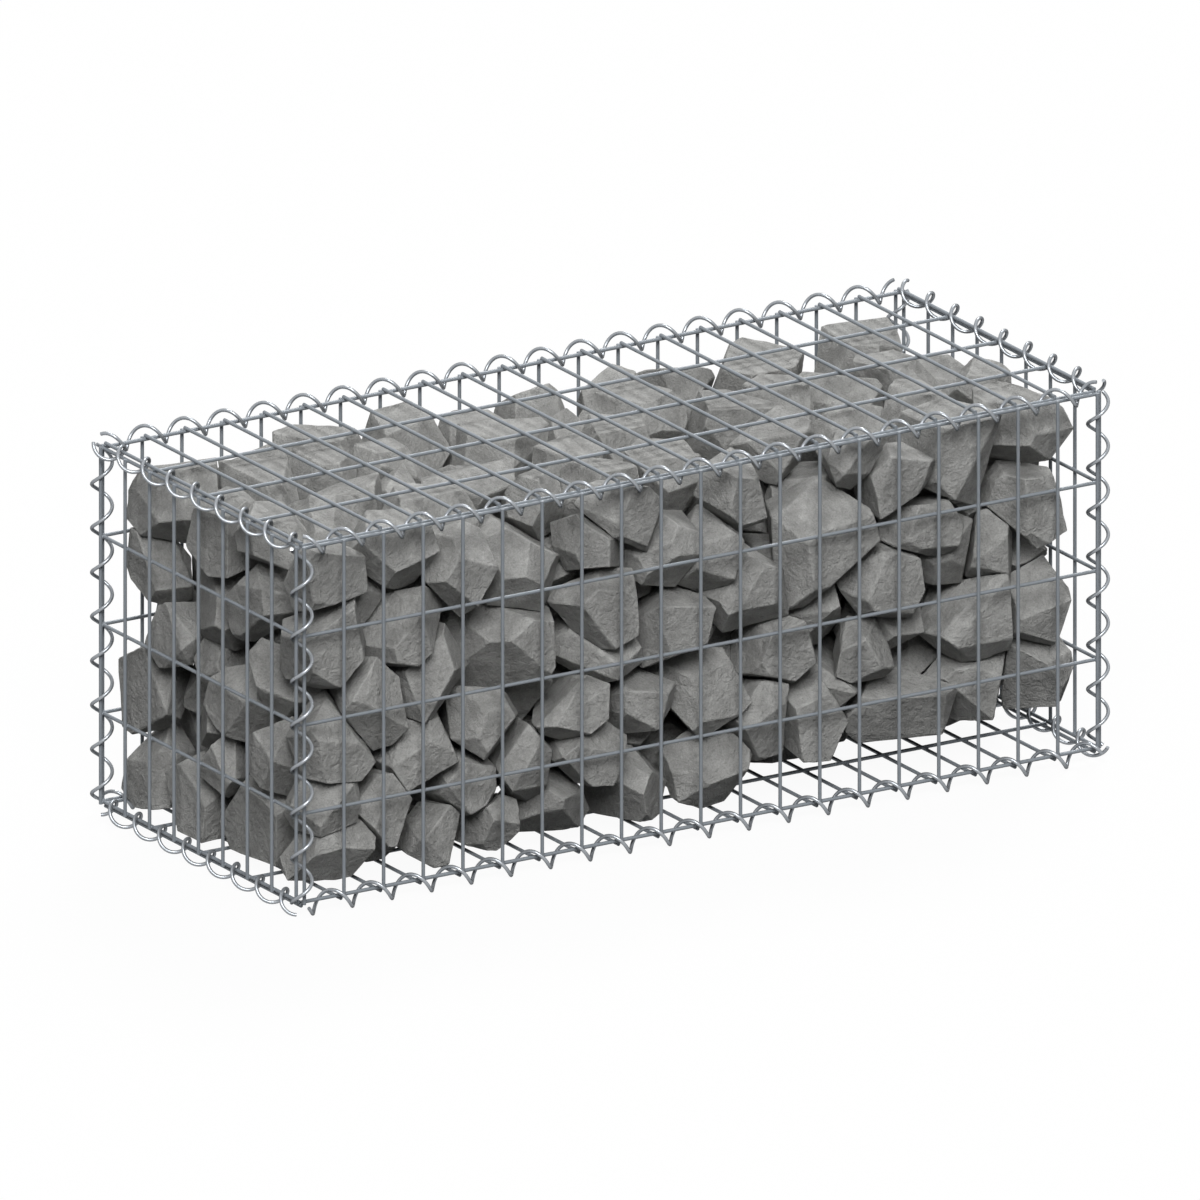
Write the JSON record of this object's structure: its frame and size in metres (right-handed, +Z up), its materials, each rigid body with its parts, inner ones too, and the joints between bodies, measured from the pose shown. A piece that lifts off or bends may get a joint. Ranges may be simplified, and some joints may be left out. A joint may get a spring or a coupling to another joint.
{
  "type": "gabion wall",
  "caption": "Box-shaped unit of a gabion wall: welded wire mesh panels laced along their edges with spiral binders, filled with broken stone.",
  "frame": {"origin": "on the floor, under the middle of the basket", "axes": "+X along the basket, +Y from its front to its back, +Z up"},
  "size_m": [1.0378, 0.4348, 0.4323],
  "materials": {
    "mesh_wire": "dull zinc-coated steel wire",
    "spiral_wire": "bright zinc-coated steel wire",
    "stone": "broken grey stone, matte"
  },
  "bodies": {
    "root": {"front_panel": "mesh_wire", "back_panel": "mesh_wire", "left_end_panel": "mesh_wire", "right_end_panel": "mesh_wire", "lid_panel": "mesh_wire", "base_panel": "mesh_wire", "spiral_top_front": "spiral_wire", "spiral_top_back": "spiral_wire", "spiral_bottom_front": "spiral_wire", "spiral_bottom_back": "spiral_wire", "spiral_top_left": "spiral_wire", "spiral_top_right": "spiral_wire", "spiral_bottom_left": "spiral_wire", "spiral_bottom_right": "spiral_wire", "spiral_front_left": "spiral_wire", "spiral_back_left": "spiral_wire", "spiral_front_right": "spiral_wire", "spiral_back_right": "spiral_wire", "stone_fill": "stone"}
  },
  "joints": []
}
